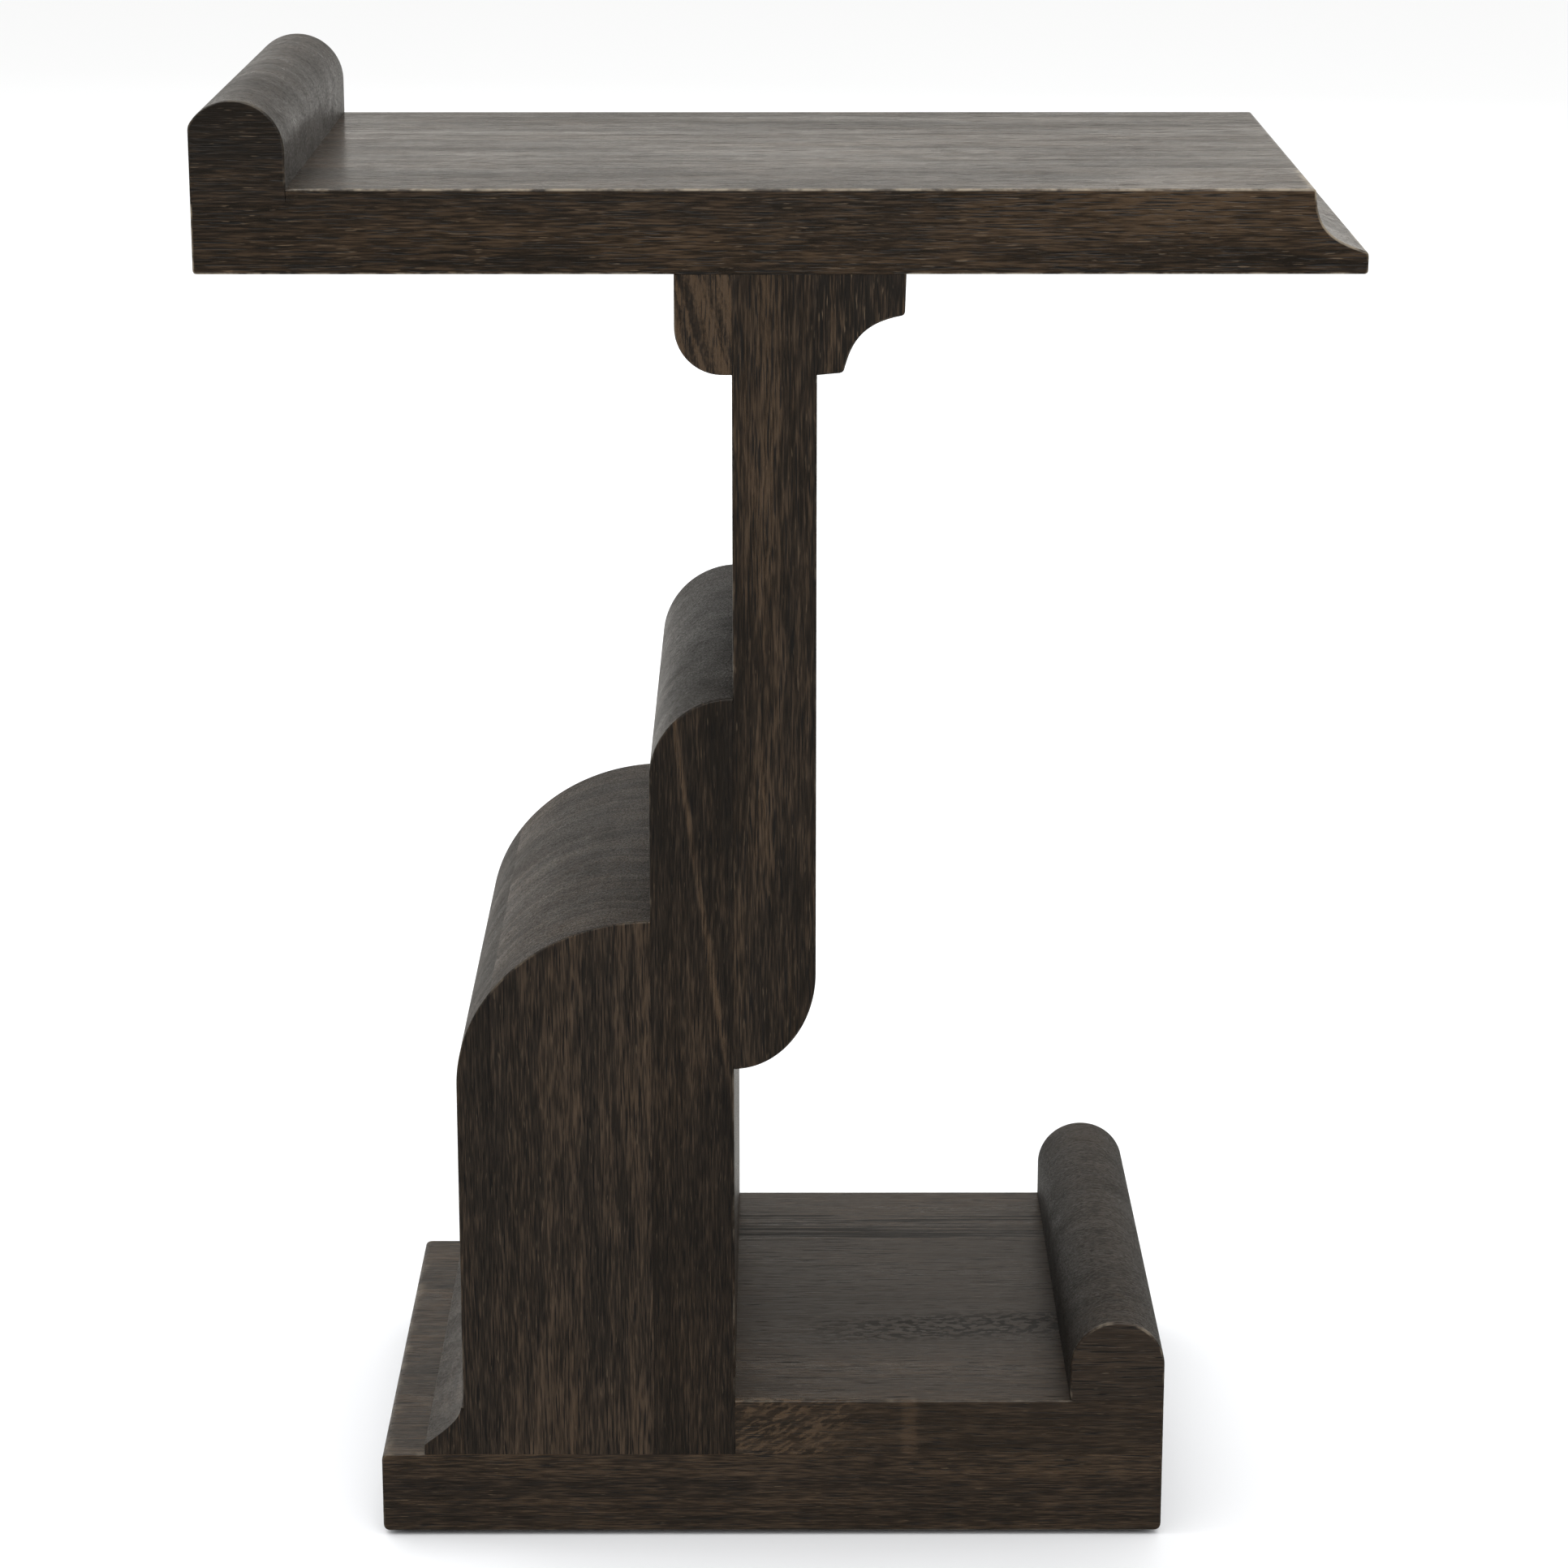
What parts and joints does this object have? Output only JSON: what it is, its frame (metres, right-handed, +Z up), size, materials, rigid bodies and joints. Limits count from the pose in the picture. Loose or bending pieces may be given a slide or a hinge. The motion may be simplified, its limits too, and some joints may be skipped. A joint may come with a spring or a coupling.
{
  "type": "side table",
  "caption": "Narrow dark-stained wooden side table: a long top with a half-round riser and a coved end, one post, a stepped column with rounded tops and a long base.",
  "frame": {"origin": "on the floor, straight under the middle of the tabletop's length and depth", "axes": "+X along the tabletop, from the half-round riser to the coved end; +Y to the rear, through the depth; +Z up"},
  "size_m": [0.483, 0.254, 0.6369],
  "materials": {
    "stained_wood": "very dark brown-black stain, open grain, satin lacquer",
    "dowel_wood": "bare beech",
    "screw_steel": "zinc-plated steel",
    "washer_steel": "zinc-plated steel",
    "glide_felt": "dense black felt"
  },
  "bodies": {
    "root": {"base_cove": "stained_wood", "base_roll": "stained_wood", "base_roll_screws": "screw_steel", "bracket_left": "stained_wood", "bracket_left_dowels": "dowel_wood", "bracket_right": "stained_wood", "bracket_right_dowels": "dowel_wood", "column_block": "stained_wood", "column_board": "stained_wood", "column_dowels": "dowel_wood", "column_facing": "stained_wood", "column_screws": "screw_steel", "floor_glides": "glide_felt", "glide_nails": "screw_steel", "plinth_stave_1": "stained_wood", "plinth_stave_2": "stained_wood", "plinth_stave_3": "stained_wood", "plinth_stave_4": "stained_wood", "post": "stained_wood", "post_column_dowels": "dowel_wood", "post_dowels": "dowel_wood", "roll_dowels": "dowel_wood", "screw_washers": "washer_steel", "shelf_screws": "screw_steel", "shelf_stave_1": "stained_wood", "shelf_stave_2": "stained_wood", "shelf_stave_3": "stained_wood", "shelf_stave_4": "stained_wood", "top_roll": "stained_wood", "top_stave_1": "stained_wood", "top_stave_2": "stained_wood", "top_stave_3": "stained_wood", "top_stave_4": "stained_wood"}
  },
  "joints": []
}
